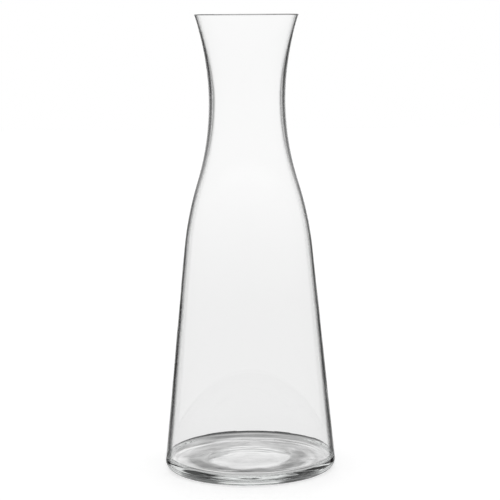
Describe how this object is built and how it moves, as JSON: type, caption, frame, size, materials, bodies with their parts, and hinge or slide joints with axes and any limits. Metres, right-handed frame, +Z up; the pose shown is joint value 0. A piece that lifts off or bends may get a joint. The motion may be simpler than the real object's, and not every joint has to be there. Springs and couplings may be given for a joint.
{
  "type": "water carafe",
  "caption": "Clear glass table carafe with a flared mouth, slim neck, soft shoulder, straight sloping body and thick round-cornered base.",
  "frame": {"origin": "centre of the foot ring, on the surface that the carafe stands on", "axes": "+Z up along the carafe's axis, towards the mouth; X and Y are any two directions square to it, because the glass is round"},
  "size_m": [0.1056, 0.1056, 0.28],
  "materials": {
    "clear_glass": "clear, smooth and fire-polished, colourless with a faint grey-green cast where it is thick"
  },
  "bodies": {
    "root": {"carafe_glass": "clear_glass"}
  },
  "joints": []
}
